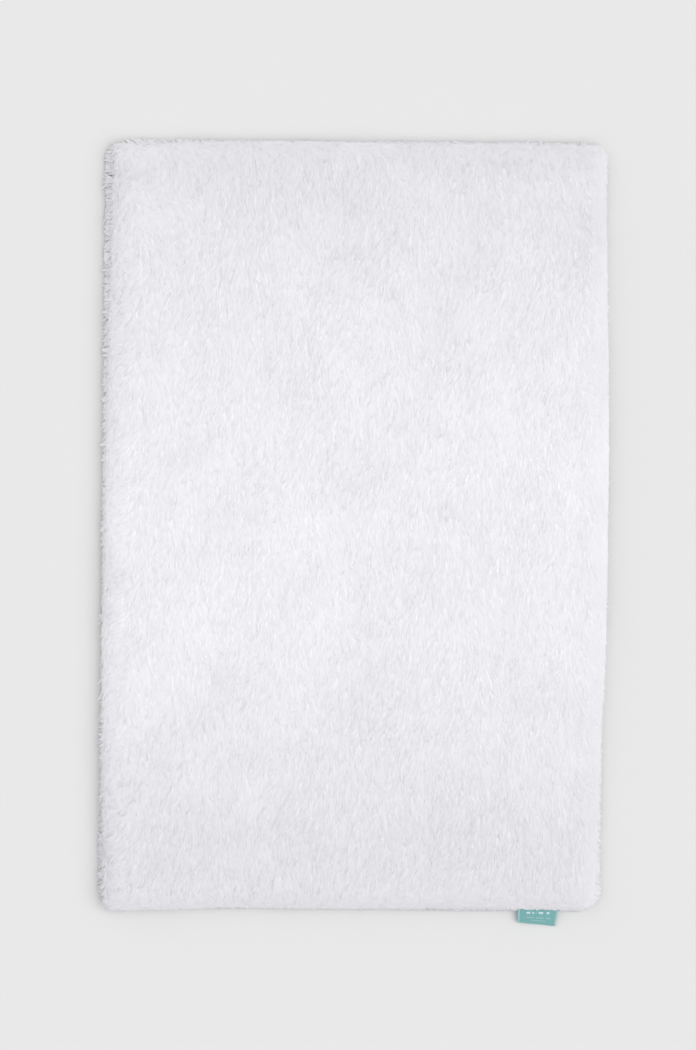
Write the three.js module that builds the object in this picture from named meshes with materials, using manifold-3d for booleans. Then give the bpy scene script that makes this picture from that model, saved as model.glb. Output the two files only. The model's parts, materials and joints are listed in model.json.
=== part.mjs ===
// Plush bath mat: a foam slab in a long-pile cover, sewn to an anti-slip backing inside a bound edge,
// with a folded ribbon label that swings on the edge seam.
// Millimetres. +Z is up, +Y runs along the mat, and the origin is on the floor under the mat's middle.
import * as THREE from "three";
import { mergeVertices } from "three/addons/utils/BufferGeometryUtils.js";
import Module from "manifold-3d";

// Plan sizes: the backing is the widest cloth, and every other outline is an inset of it.
const BASE_WIDTH = 510;
const BASE_LENGTH = 790;
const CORNER_RADIUS = 20;
const LEAST_RADIUS = 2;
const CORNER_SEGMENTS = 6;

// Thicknesses, from the floor up.
const PLY_GAP = 0.3;
const DOT_HEIGHT = 1.0;
const COATING_THICKNESS = 0.5;
const BACKING_THICKNESS = 0.8;
const GROUND_THICKNESS = 1.2;
const FOAM_THICKNESS = 15;
const PILE_THICKNESS = 9.6;

// The cover's side: a flange sewn to the backing, a wall round the foam, and the pile that hides both.
const FLANGE_WIDTH = 8;
const PILE_SETBACK = 1.5;
const PILE_EDGE_RADIUS = 12;
const PILE_EDGE_SEGMENTS = 5;

// The tape folded round the edges of the flange and the backing.
const TAPE_THICKNESS = 0.8;
const TAPE_LAP = 6;
const THREAD_WIDTH = 0.6;
const THREAD_THICKNESS = 0.4;
const BOBBIN_THICKNESS = 0.3;
const STITCH_INSET = 3;

// Moulded grip dots under the coating, in a triangular lattice with one dot at the origin.
const DOT_PITCH = 50;
const DOT_RADIUS = 6;
const DOT_TAPER = 1;
const DOT_SIDES = 8;
const DOT_ROOT = 0.25;
const DOT_MARGIN = 14;

// The ribbon label: its two ends are sewn down on the tape, and its folded end droops to the floor.
const LABEL_WIDTH = 42;
const LABEL_LENGTH = 16;
const LABEL_PLY = 0.35;
const LABEL_FROM_SIDE = 59;
const LABEL_OVER_STITCH = 3;
const LABEL_TO_WALL_GAP = 1;
const LABEL_SWING_GAP = 0.8;
const LABEL_FLOOR_GAP = 0.4;
const LABEL_TO_PILE_GAP = 0.6;
const FOLD_SEGMENTS = 5;

// Heights of the layers, each ply resting on the one below with a ply gap between them.
const coatingBottom = DOT_HEIGHT;
const coatingTop = coatingBottom + COATING_THICKNESS;
const backingBottom = coatingTop + PLY_GAP;
const backingTop = backingBottom + BACKING_THICKNESS;
const coverBottom = backingTop + PLY_GAP;
const flangeTop = coverBottom + GROUND_THICKNESS;
const foamTop = coverBottom + FOAM_THICKNESS;
const cavityTop = foamTop + PLY_GAP;
const pileTop = cavityTop + GROUND_THICKNESS + PILE_THICKNESS;
const tapeBottom = backingBottom - PLY_GAP - TAPE_THICKNESS;
const tapeTop = flangeTop + PLY_GAP + TAPE_THICKNESS;
const threadTop = tapeTop + PLY_GAP + THREAD_THICKNESS;
const labelThickness = 2 * LABEL_PLY + PLY_GAP;
const labelBottom = threadTop + PLY_GAP;
const pileBottom = labelBottom + labelThickness + LABEL_TO_PILE_GAP;

// Insets from the backing's outline. A negative one lies outside it.
const tapeInnerFace = -PLY_GAP;
const tapeOuterFace = tapeInnerFace - TAPE_THICKNESS;
const cavityInset = FLANGE_WIDTH + GROUND_THICKNESS;
const foamInset = cavityInset + PLY_GAP;
const coatingInset = TAPE_LAP + PLY_GAP;
const labelRootLimit = FLANGE_WIDTH - LABEL_TO_WALL_GAP;
const labelRootInset = Math.min(STITCH_INSET + THREAD_WIDTH + LABEL_OVER_STITCH, labelRootLimit);
const labelMiddle = BASE_WIDTH / 2 - LABEL_FROM_SIDE;

const wasm = await Module();
wasm.setup();

const cloth = new THREE.MeshStandardMaterial({ color: 0xf0eff4, roughness: 1, metalness: 0 });
const tape = new THREE.MeshStandardMaterial({ color: 0xe9e8ec, roughness: 0.9, metalness: 0 });
const thread = new THREE.MeshStandardMaterial({ color: 0xe2e1e4, roughness: 0.7, metalness: 0 });
const foam = new THREE.MeshStandardMaterial({ color: 0xf3ead2, roughness: 0.95, metalness: 0 });
const backing = new THREE.MeshStandardMaterial({ color: 0xdcdcdf, roughness: 0.9, metalness: 0 });
const latex = new THREE.MeshStandardMaterial({ color: 0xd6d8d8, roughness: 0.55, metalness: 0 });
const ribbon = new THREE.MeshStandardMaterial({ color: 0x86c4c4, roughness: 0.5, metalness: 0 });

// A closed geometry as a solid that can be joined and cut.
function solidOf(geometry) {
  const bare = new THREE.BufferGeometry();
  bare.setAttribute("position", geometry.getAttribute("position"));
  bare.setIndex(geometry.getIndex());
  const merged = mergeVertices(bare, 1e-4);
  return new wasm.Manifold(
    new wasm.Mesh({
      numProp: 3,
      vertProperties: merged.getAttribute("position").array,
      triVerts: new Uint32Array(merged.getIndex().array),
    }),
  );
}

// A solid as a geometry that a mesh can show.
function geometryOf(solid) {
  const { vertProperties, triVerts } = solid.getMesh();
  const geometry = new THREE.BufferGeometry();
  geometry.setAttribute("position", new THREE.BufferAttribute(vertProperties, 3));
  geometry.setIndex(new THREE.BufferAttribute(triVerts, 1));
  geometry.computeVertexNormals();
  return geometry;
}

function namedMesh(name, geometry, material) {
  const mesh = new THREE.Mesh(geometry, material);
  mesh.name = name;
  return mesh;
}

// The backing's outline, moved inwards by an inset, with its corners still concentric.
function outline(inset) {
  const halfWidth = BASE_WIDTH / 2 - inset;
  const halfLength = BASE_LENGTH / 2 - inset;
  const radius = Math.max(CORNER_RADIUS - inset, LEAST_RADIUS);
  const centres = [
    [halfWidth - radius, halfLength - radius],
    [radius - halfWidth, halfLength - radius],
    [radius - halfWidth, radius - halfLength],
    [halfWidth - radius, radius - halfLength],
  ];
  const shape = new THREE.Shape();
  centres.forEach(([x, y], quarter) => {
    const start = (quarter * Math.PI) / 2;
    shape.absarc(x, y, radius, start, start + Math.PI / 2, false);
  });
  return shape;
}

function slab(inset, bottom, top) {
  const geometry = new THREE.ExtrudeGeometry(outline(inset), {
    depth: top - bottom,
    bevelEnabled: false,
    curveSegments: CORNER_SEGMENTS,
  });
  return solidOf(geometry.translate(0, 0, bottom));
}

// A closed loop of rectangular section that follows the mat's edge.
function loop(outerInset, width, bottom, top) {
  return slab(outerInset, bottom, top).subtract(slab(outerInset + width, bottom - 1, top + 1));
}

// The space that the pile fills: upright at the bottom, and rounded over at the top edge.
function pileBody() {
  const geometry = new THREE.ExtrudeGeometry(outline(PILE_SETBACK + PILE_EDGE_RADIUS), {
    depth: pileTop - PILE_EDGE_RADIUS,
    bevelEnabled: true,
    bevelThickness: PILE_EDGE_RADIUS,
    bevelSize: PILE_EDGE_RADIUS,
    bevelSegments: PILE_EDGE_SEGMENTS,
    curveSegments: CORNER_SEGMENTS,
  });
  const below = slab(-PILE_EDGE_RADIUS, -2 * PILE_EDGE_RADIUS, pileBottom);
  return solidOf(geometry).subtract(below);
}

function furCover() {
  const flange = slab(0, coverBottom, flangeTop);
  const wall = slab(FLANGE_WIDTH, coverBottom, pileBottom + 1);
  const cavity = slab(cavityInset, coverBottom - 1, cavityTop);
  const solid = flange.add(wall).add(pileBody()).subtract(cavity);
  return namedMesh("fur_cover", geometryOf(solid), cloth);
}

function foamCore() {
  return namedMesh("foam_core", geometryOf(slab(foamInset, coverBottom, foamTop)), foam);
}

function backingCloth() {
  return namedMesh("backing_cloth", geometryOf(slab(0, backingBottom, backingTop)), backing);
}

function edgeBinding() {
  const outside = loop(tapeOuterFace, TAPE_LAP - tapeOuterFace, tapeBottom, tapeTop);
  const sewnEdges = slab(tapeInnerFace, tapeBottom + TAPE_THICKNESS, tapeTop - TAPE_THICKNESS);
  return namedMesh("edge_binding", geometryOf(outside.subtract(sewnEdges)), tape);
}

function needleThread() {
  const solid = loop(STITCH_INSET, THREAD_WIDTH, threadTop - THREAD_THICKNESS, threadTop);
  return namedMesh("needle_thread", geometryOf(solid), thread);
}

function bobbinThread() {
  const top = tapeBottom - PLY_GAP;
  const solid = loop(STITCH_INSET, THREAD_WIDTH, top - BOBBIN_THICKNESS, top);
  return namedMesh("bobbin_thread", geometryOf(solid), thread);
}

// Centres of the grip dots that lie wholly under the coating.
function dotCentres() {
  const rowPitch = (DOT_PITCH * Math.sqrt(3)) / 2;
  const reachX = BASE_WIDTH / 2 - coatingInset - DOT_MARGIN;
  const reachY = BASE_LENGTH / 2 - coatingInset - DOT_MARGIN;
  const rows = Math.floor(reachY / rowPitch);
  const columns = Math.ceil(reachX / DOT_PITCH);
  const centres = [];
  for (let row = -rows; row <= rows; row += 1) {
    const shift = row % 2 === 0 ? 0 : DOT_PITCH / 2;
    for (let column = -columns; column <= columns; column += 1) {
      const x = column * DOT_PITCH + shift;
      if (Math.abs(x) <= reachX) centres.push([x, row * rowPitch]);
    }
  }
  return centres;
}

function gripCoating() {
  const height = DOT_HEIGHT + DOT_ROOT;
  const dots = dotCentres().map(([x, y]) => {
    const dot = new THREE.CylinderGeometry(DOT_RADIUS, DOT_RADIUS - DOT_TAPER, height, DOT_SIDES);
    return solidOf(dot.rotateX(Math.PI / 2).translate(x, y, height / 2));
  });
  const film = slab(coatingInset, coatingBottom, coatingTop);
  const solid = dots.reduce((whole, dot) => whole.add(dot), film);
  return namedMesh("grip_coating", geometryOf(solid), latex);
}

// The ribbon's two sewn ends, pressed flat over the needle thread and under the pile.
function labelRoot() {
  const length = labelRootInset - tapeOuterFace;
  const middle = tapeOuterFace + length / 2 - BASE_LENGTH / 2;
  const geometry = new THREE.BoxGeometry(LABEL_WIDTH, length, labelThickness);
  geometry.translate(labelMiddle, middle, labelBottom + labelThickness / 2);
  return namedMesh("label_root", geometry, ribbon);
}

// Two plies of ribbon joined by the fold at the free end, drawn from the hinge line towards -Y.
function labelFlap() {
  const outerRadius = labelThickness / 2;
  const innerRadius = PLY_GAP / 2;
  const foldCentre = LABEL_LENGTH - outerRadius;
  const section = new THREE.Shape();
  section.moveTo(0, outerRadius);
  section.lineTo(foldCentre, outerRadius);
  section.absarc(foldCentre, 0, outerRadius, Math.PI / 2, -Math.PI / 2, true);
  section.lineTo(0, -outerRadius);
  section.lineTo(0, -innerRadius);
  section.lineTo(foldCentre, -innerRadius);
  section.absarc(foldCentre, 0, innerRadius, -Math.PI / 2, Math.PI / 2, false);
  section.lineTo(0, innerRadius);
  section.closePath();
  const geometry = new THREE.ExtrudeGeometry(section, {
    depth: LABEL_WIDTH,
    bevelEnabled: false,
    curveSegments: FOLD_SEGMENTS,
  });
  // The section's length turns from +X to -Y, its thickness from +Y to +Z, and its depth to -X.
  const toMat = new THREE.Matrix4().makeBasis(
    new THREE.Vector3(0, -1, 0),
    new THREE.Vector3(0, 0, 1),
    new THREE.Vector3(-1, 0, 0),
  );
  geometry.applyMatrix4(toMat).translate(LABEL_WIDTH / 2, 0, 0);
  return namedMesh("label_flap", geometry, ribbon);
}

// The line that the label swings on, just outside the binding. From it the flap droops to the floor.
function labelHinge() {
  const height = labelBottom + labelThickness / 2;
  const fall = labelBottom - LABEL_FLOOR_GAP;
  const reach = LABEL_LENGTH - labelThickness / 2;
  const hinge = new THREE.Group();
  hinge.position.set(labelMiddle, tapeOuterFace - BASE_LENGTH / 2 - LABEL_SWING_GAP, height);
  hinge.rotation.x = Math.asin(Math.min(fall / reach, 1));
  hinge.add(labelFlap());
  return hinge;
}

const bathMat = new THREE.Group();
bathMat.add(gripCoating());
bathMat.add(backingCloth());
bathMat.add(foamCore());
bathMat.add(furCover());
bathMat.add(edgeBinding());
bathMat.add(needleThread());
bathMat.add(bobbinThread());
bathMat.add(labelRoot());
bathMat.add(labelHinge());

export default bathMat;
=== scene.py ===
import json
import math

import bpy
import numpy as np
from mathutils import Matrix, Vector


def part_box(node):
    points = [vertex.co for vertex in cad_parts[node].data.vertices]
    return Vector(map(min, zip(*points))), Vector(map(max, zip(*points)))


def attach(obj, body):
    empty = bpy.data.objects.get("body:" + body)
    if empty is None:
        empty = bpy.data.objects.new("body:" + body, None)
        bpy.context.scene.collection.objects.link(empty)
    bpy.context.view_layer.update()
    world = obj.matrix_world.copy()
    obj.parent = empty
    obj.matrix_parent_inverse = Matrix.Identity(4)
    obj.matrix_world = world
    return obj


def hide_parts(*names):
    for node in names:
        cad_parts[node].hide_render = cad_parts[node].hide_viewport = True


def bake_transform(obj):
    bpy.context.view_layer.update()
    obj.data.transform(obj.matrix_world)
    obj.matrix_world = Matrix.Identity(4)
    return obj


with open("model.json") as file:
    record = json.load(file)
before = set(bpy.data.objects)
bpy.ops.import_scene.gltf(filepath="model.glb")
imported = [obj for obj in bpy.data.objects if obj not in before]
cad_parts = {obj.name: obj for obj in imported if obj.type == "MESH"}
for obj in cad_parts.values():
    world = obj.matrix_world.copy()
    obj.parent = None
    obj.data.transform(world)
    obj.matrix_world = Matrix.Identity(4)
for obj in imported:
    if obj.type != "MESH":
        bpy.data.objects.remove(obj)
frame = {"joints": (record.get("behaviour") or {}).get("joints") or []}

bl_info = {
    "name": "Plush Bath Mat",
    "version": (1, 0, 0),
    "blender": (4, 5, 0),
    "location": "3D View > Sidebar > Bath Mat",
    "description": "Dresses a bath mat's frame: combed pile, foam, backing, bound edge and ribbon label",
    "category": "Object",
}

UP = np.array([0.0, 0.0, 1.0])
MAT_BODY = "mat"

# The frame's heights and outlines, in metres.
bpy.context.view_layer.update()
COVER_LOW, COVER_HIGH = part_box("fur_cover")
FOAM_LOW, FOAM_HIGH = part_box("foam_core")
BACKING_LOW, BACKING_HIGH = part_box("backing_cloth")
GRIP_LOW, GRIP_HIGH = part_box("grip_coating")
TAPE_LOW, TAPE_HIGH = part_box("edge_binding")
NEEDLE_LOW, NEEDLE_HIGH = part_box("needle_thread")
BOBBIN_LOW, BOBBIN_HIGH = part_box("bobbin_thread")
ROOT_LOW, ROOT_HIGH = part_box("label_root")
FLAP_LOW, FLAP_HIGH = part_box("label_flap")
HINGE = next(joint for joint in frame["joints"] if joint["name"] == "label_swing")
HINGE_POINT = np.array(HINGE["pos_m"])

# The cover's section: where the pile's mass starts to round over, and how it tucks under to the flange.
RIM_WIDTH = 0.020
RIM_STEPS = 24
TUCK_STEPS = 8
LOCKS_OVER_BED = 0.0030
BED_TOP = COVER_HIGH.z - LOCKS_OVER_BED
WIDEST_HEIGHT = 0.0125
UNDERSIDE_HEIGHT = 0.0078
FLANGE_TOP = 0.0041
FLANGE_WIDTH = 0.008
FOAM_CLEARANCE = 0.0003
CAVITY_TOP = FOAM_HIGH.z + FOAM_CLEARANCE
GROUND_THICKNESS = 0.0012
BED_STEP = 0.0034

# How far the pile's mass stands past the flange on each side, and how far it shifts sideways for each metre
# along the mat.
OVERHANG_X = 0.0015
OVERHANG_BACK = 0.0025
OVERHANG_FRONT = -0.0020
SKEW = 0.006

# The pile is one mesh for each band across the mat. A lock's rings are at these shares of its length.
PILE_BANDS = 10
LOCK_RINGS = (0.0, 0.3, 0.6, 0.85)
LOCK_STEPS = (*LOCK_RINGS, 1.0)
LOCK_TAPER = (0.75, 1.0, 0.82, 0.48)
LOCK_SIDES = 3


# ---------------------------------------------------------------- settings


class PileSettings(bpy.types.PropertyGroup):
    """Sizes and colours of the pile."""

    spacing: bpy.props.FloatProperty(
        name="Lock spacing", description="Distance between neighbouring locks of fibre",
        default=0.0029, min=0.0015, unit="LENGTH", precision=4)
    length: bpy.props.FloatProperty(
        name="Lock length", description="Length of a lock past the pile's dense mass",
        default=0.012, min=0.004, unit="LENGTH", precision=4)
    width: bpy.props.FloatProperty(
        name="Lock width", description="Width of a lock at its root",
        default=0.0031, min=0.0005, unit="LENGTH", precision=4)
    lift: bpy.props.FloatProperty(
        name="Lock lift", description="Height that a lock's back rises to over the dense mass",
        default=0.0002, min=0.0, unit="LENGTH", precision=4)
    tip_colour: bpy.props.FloatVectorProperty(
        name="Tip colour", description="Colour of the fibre at its tip",
        default=(0.945, 0.938, 0.975), size=3, min=0.0, max=1.0, subtype="COLOR")
    # Painted shade: the grey that the pile is painted towards at the lock roots, towards the two ends and
    # along the right rim, standing in for shade deep in the pile and for light that falls off.
    painted_shade_colour: bpy.props.FloatVectorProperty(
        name="Shade colour", description="Colour of the fibre where it is darkest, at the roots and the ends",
        default=(0.82, 0.815, 0.85), size=3, min=0.0, max=1.0, subtype="COLOR")


class LabelSettings(bpy.types.PropertyGroup):
    """Colours of the ribbon label."""

    ground_colour: bpy.props.FloatVectorProperty(
        name="Ground colour", description="Colour of the ribbon's ground weave",
        default=(0.205, 0.475, 0.475), size=3, min=0.0, max=1.0, subtype="COLOR")
    band_colour: bpy.props.FloatVectorProperty(
        name="Band colour", description="Colour of the ribbon's paler weft bands",
        default=(0.46, 0.68, 0.69), size=3, min=0.0, max=1.0, subtype="COLOR")
    mark_colour: bpy.props.FloatVectorProperty(
        name="Mark colour", description="Colour of the ribbon's woven bars",
        default=(0.62, 0.80, 0.82), size=3, min=0.0, max=1.0, subtype="COLOR")
    skew: bpy.props.FloatProperty(
        name="Skew", description="Angle that the free end turns by in the plane of the floor",
        default=math.radians(5.5), subtype="ANGLE")


class BaseSettings(bpy.types.PropertyGroup):
    """Colours of the foam, the backing, the tape and the threads."""

    foam_colour: bpy.props.FloatVectorProperty(
        name="Foam colour", description="Colour of the foam slab",
        default=(0.86, 0.76, 0.56), size=3, min=0.0, max=1.0, subtype="COLOR")
    backing_colour: bpy.props.FloatVectorProperty(
        name="Backing colour", description="Colour of the backing cloth",
        default=(0.66, 0.66, 0.69), size=3, min=0.0, max=1.0, subtype="COLOR")
    grip_colour: bpy.props.FloatVectorProperty(
        name="Grip colour", description="Colour of the moulded grip film",
        default=(0.58, 0.60, 0.60), size=3, min=0.0, max=1.0, subtype="COLOR")
    tape_colour: bpy.props.FloatVectorProperty(
        name="Tape colour", description="Colour of the binding tape",
        default=(0.84, 0.835, 0.86), size=3, min=0.0, max=1.0, subtype="COLOR")
    thread_colour: bpy.props.FloatVectorProperty(
        name="Thread colour", description="Colour of the sewing thread",
        default=(0.80, 0.795, 0.82), size=3, min=0.0, max=1.0, subtype="COLOR")


class StageSettings(bpy.types.PropertyGroup):
    """The floor, the light and the camera."""

    floor_colour: bpy.props.FloatVectorProperty(
        name="Floor colour", description="Colour of the floor",
        default=(0.78, 0.78, 0.78), size=3, min=0.0, max=1.0, subtype="COLOR")
    sky_strength: bpy.props.FloatProperty(
        name="Fill light", description="Strength of the even light from all round",
        default=0.559, min=0.0)
    key_strength: bpy.props.FloatProperty(
        name="Key light", description="Strength of the soft light from the right",
        default=1.466, min=0.0)
    side_strength: bpy.props.FloatProperty(
        name="Side light", description="Strength of the wide, weak light from the left and behind",
        default=0.446, min=0.0)
    key_elevation: bpy.props.FloatProperty(
        name="Key elevation", description="Height of the key light over the horizon",
        default=math.radians(62.0), subtype="ANGLE")
    key_azimuth: bpy.props.FloatProperty(
        name="Key azimuth", description="Direction of the key light, from +X towards +Y",
        default=math.radians(-12.0), subtype="ANGLE")
    lens: bpy.props.FloatProperty(
        name="Lens", description="Focal length of the camera", default=85.0, min=20.0,
        subtype="DISTANCE_CAMERA")
    lean: bpy.props.FloatProperty(
        name="Lean", description="Angle that the mat leans by, clockwise, seen from above",
        default=math.radians(0.5), subtype="ANGLE")


def settings(group):
    return getattr(bpy.context.scene, group)


# ---------------------------------------------------------------- shader expressions


class Value:
    """A socket that arithmetic is written on. Each operation adds its Math node."""

    def __init__(self, tree, socket):
        self.tree = tree
        self.socket = socket

    def math(self, operation, *operands):
        node = self.tree.nodes.new("ShaderNodeMath")
        node.operation = operation
        for slot, operand in zip(node.inputs, operands):
            plug(self.tree, slot, operand)
        return Value(self.tree, node.outputs[0])

    def __add__(self, other):
        return self.math("ADD", self, other)

    __radd__ = __add__

    def __mul__(self, other):
        return self.math("MULTIPLY", self, other)

    __rmul__ = __mul__

    def __sub__(self, other):
        return self.math("SUBTRACT", self, other)

    def __rsub__(self, other):
        return self.math("SUBTRACT", other, self)

    def __truediv__(self, other):
        return self.math("DIVIDE", self, other)

    def __rtruediv__(self, other):
        return self.math("DIVIDE", other, self)

    def __mod__(self, other):
        return self.math("FLOORED_MODULO", self, other)

    def __gt__(self, other):
        return self.math("GREATER_THAN", self, other)

    def __lt__(self, other):
        return self.math("LESS_THAN", self, other)

    def sine(self):
        return self.math("SINE", self)


def plug(tree, slot, item):
    """Links a Value to a socket, or sets the socket's own value."""
    if isinstance(item, Value):
        tree.links.new(item.socket, slot)
    elif hasattr(item, "__len__") and len(item) == 3 and slot.type == "RGBA":
        slot.default_value = (*item, 1.0)
    else:
        slot.default_value = item


class Finish:
    """A material with one principled shader, whose constants are set on the shader's own sockets."""

    def __init__(self, name, **constants):
        self.material = bpy.data.materials.new(name)
        self.material.use_nodes = True
        self.tree = self.material.node_tree
        self.shader = self.tree.nodes["Principled BSDF"]
        for name, value in constants.items():
            plug(self.tree, self.shader.inputs[name.replace("_", " ").title().replace("Ior", "IOR")], value)

    def node(self, kind, settings_, outlet=0, **sockets):
        """Adds a node: its settings first, then its sockets. Gives back one of its outputs."""
        node = self.tree.nodes.new(kind)
        for name, value in settings_.items():
            setattr(node, name, value)
        for name, value in sockets.items():
            key = int(name[1:]) if name[1:].isdigit() else name.replace("_", " ").title()
            plug(self.tree, node.inputs[key], value)
        return Value(self.tree, node.outputs[outlet])

    def attribute(self, name):
        """A number that the mesh holds at each of its points."""
        return self.node("ShaderNodeAttribute", {"attribute_name": name}, "Fac")

    def noise(self, scale, detail, vector=None):
        """Cloudy noise between 0 and 1, with so many cells to the metre unless the vector is stretched."""
        return self.node("ShaderNodeTexNoise", {}, "Fac",
                         Vector=vector or self.place(), Scale=scale, Detail=detail)

    def place(self):
        """The point's place on its own piece, in metres."""
        return self.node("ShaderNodeTexCoord", {}, "Object")

    def stretch(self, x, y, z):
        """The point's place with each axis scaled."""
        return self.node("ShaderNodeVectorMath", {"operation": "MULTIPLY"}, 0,
                         _0=self.place(), _1=(x, y, z))

    def axes(self):
        """The point's place as three separate values."""
        node = self.tree.nodes.new("ShaderNodeSeparateXYZ")
        plug(self.tree, node.inputs[0], self.place())
        return [Value(self.tree, output) for output in node.outputs]

    def mix(self, factor, first, second):
        """The first colour where factor is 0, and the second where it is 1."""
        return self.node("ShaderNodeMix", {"data_type": "RGBA"}, 2, _0=factor, _6=first, _7=second)

    def colour(self, value):
        plug(self.tree, self.shader.inputs["Base Color"], value)

    def roughness(self, value):
        plug(self.tree, self.shader.inputs["Roughness"], value)

    def relief(self, height, distance, strength=1.0):
        """Bumps where height goes from 0 to 1 over a distance in metres."""
        bump = self.node("ShaderNodeBump", {}, "Normal",
                         Strength=strength, Distance=distance, Height=height)
        plug(self.tree, self.shader.inputs["Normal"], bump)


# ---------------------------------------------------------------- finishes


def shaded(colour, *shares):
    """A colour with its channels scaled, by one share for all of them or by one for each."""
    shares = shares if len(shares) == 3 else shares * 3
    return tuple(channel * share for channel, share in zip(colour, shares))


def wave(value, turns):
    """A wave between 0 and 1, with so many turns for each unit of the value."""
    return (value * (turns * math.tau)).sine() * 0.5 + 0.5


def mottle_and_painted_shade(finish, scale):
    """How grey the pile is at a point, but for its locks: 0 is the tips' white, and 1 is the painted shade
    colour.

    Soft mottling, which is the fibre's own tone, and painted shade: greyer towards the two ends, most of all
    the label end, where the light falls off, and along the right rim, where it tones down the key light.
    """
    mottle = finish.noise(scale, detail=3.0)
    x, y = finish.axes()[:2]
    along, across = y / COVER_HIGH.y, x / COVER_HIGH.x
    # Painted shade: greyer towards both ends, most of all at the label end, and along the right rim.
    label_end = (along < -0.25) * (along + 0.25)
    painted_right_shade = (across > 0.88) * (across - 0.88)
    ends = along * along * 0.8 - label_end * 0.42 + painted_right_shade * 2.8
    return (mottle - 0.5) * 1.1 + ends + 0.12


def pile_finish():
    """White polyester fibre, with painted shade at the roots and towards the ends and the right rim; faint
    lengthwise fibres and soft mottling.
    """
    pile = settings("mat_pile")
    finish = Finish("pile_fibre", roughness=0.85, sheen_weight=0.25, sheen_roughness=0.4,
                    specular_ior_level=0.2)
    # Painted shade: the lock roots, deep in the pile, are painted greyer than the tips. The shade attribute
    # is each lock's own random tone.
    root = 1.0 - finish.attribute("tip")
    depth = root * 0.14 + finish.attribute("shade") * 0.06 + mottle_and_painted_shade(finish, scale=18.0)
    finish.colour(finish.mix(depth, tuple(pile.tip_colour), tuple(pile.painted_shade_colour)))
    fibres = (finish.attribute("across") * 40.0).sine()
    finish.relief(fibres, distance=0.00005, strength=0.4)
    return finish.material


def bed_finish():
    """The dense underfur that shows between the locks."""
    pile = settings("mat_pile")
    finish = Finish("pile_underfur", roughness=0.95, sheen_weight=0.2, sheen_roughness=0.5,
                    specular_ior_level=0.1)
    strands = finish.noise(1.0, detail=4.0, vector=finish.stretch(700.0, 160.0, 300.0))
    # The strands are the underfur's own tone; the rest is the pile's mottling and its painted shade towards
    # the ends and the right rim.
    depth = strands * 0.2 + mottle_and_painted_shade(finish, scale=25.0)
    finish.colour(finish.mix(depth, tuple(pile.tip_colour), tuple(pile.painted_shade_colour)))
    finish.relief(strands, distance=0.0012, strength=0.7)
    return finish.material


def foam_finish():
    """Open-cell foam: fine pores, and a slight yellowing."""
    finish = Finish("foam_cells", roughness=0.95, specular_ior_level=0.15)
    cells = finish.node("ShaderNodeTexVoronoi", {}, "Distance", Vector=finish.place(), Scale=900.0)
    patches = finish.noise(30.0, detail=4.0)
    fresh = tuple(settings("mat_base").foam_colour)
    aged = shaded(fresh, 0.93, 0.88, 0.78)
    finish.colour(finish.mix(patches * 0.6 + cells * 0.8, fresh, aged))
    finish.relief(cells, distance=0.0005)
    return finish.material


def weave_height(finish, threads):
    """A plain weave's height over a flat cloth, with so many threads to the metre."""
    x, y, _ = finish.axes()
    warp = (x * (threads * math.tau)).sine()
    weft = (y * (threads * math.tau)).sine()
    return warp * weft * 0.5 + 0.5


def backing_finish():
    """Plain woven polyester, with uneven threads."""
    finish = Finish("backing_weave", roughness=0.85, sheen_weight=0.2)
    weave = weave_height(finish, threads=900.0)
    slubs = finish.noise(1.0, detail=3.0, vector=finish.stretch(30.0, 700.0, 30.0))
    light = tuple(settings("mat_base").backing_colour)
    finish.colour(finish.mix(weave * 0.5 + slubs * 0.5, light, shaded(light, 0.78)))
    finish.relief(weave + slubs * 0.4, distance=0.0003)
    return finish.material


def grip_finish():
    """A soft rubbery film: milky, finely grained, and unevenly glossy."""
    finish = Finish("grip_rubber", specular_ior_level=0.45)
    clouds = finish.noise(40.0, detail=4.0)
    grain = finish.noise(2200.0, detail=2.0)
    light = tuple(settings("mat_base").grip_colour)
    finish.colour(finish.mix(clouds, light, shaded(light, 0.82)))
    finish.roughness(0.38 + clouds * 0.25)
    finish.relief(grain, distance=0.00015, strength=0.5)
    return finish.material


def tape_finish():
    """Ribbed binding tape: fine ribs across its width, with painted shade in the grooves between them, under
    a light fuzz.
    """
    finish = Finish("tape_ribs", roughness=0.8, sheen_weight=0.3, sheen_roughness=0.4)
    ribs = wave(finish.attribute("along"), 1100.0)
    fuzz = finish.noise(600.0, detail=3.0)
    light = tuple(settings("mat_base").tape_colour)
    # Painted shade: the tape is darker in the grooves between the ribs; the fuzz is the yarn's own uneven
    # tone.
    finish.colour(finish.mix((1.0 - ribs) * 0.5 + fuzz * 0.5, light, shaded(light, 0.84)))
    finish.relief(ribs + fuzz * 0.5, distance=0.00035)
    return finish.material


def thread_finish():
    """Three-ply sewing thread: a slanting twist with a little gloss, and painted shade between the plies."""
    finish = Finish("thread_twist", roughness=0.5, sheen_weight=0.3)
    twist = finish.attribute("along") * (1300.0 * math.tau) + finish.attribute("across") * (3.0 * math.tau)
    plies = twist.sine() * 0.5 + 0.5
    light = tuple(settings("mat_base").thread_colour)
    # Painted shade: the thread is darker in the grooves between its plies.
    finish.colour(finish.mix(1.0 - plies, light, shaded(light, 0.75)))
    finish.relief(plies, distance=0.00015)
    return finish.material


def band(value, low, high):
    """1 where the value lies between low and high, and 0 elsewhere."""
    return (value > low) * (value < high)


def bars(along, across, rows, columns, pitch, blank):
    """A row of woven bars: its reach along and across the ribbon, bars to the metre, and blank share."""
    return band(along, *rows) * band(across, *columns) * (((across * pitch) % 1.0) > blank)


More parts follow.
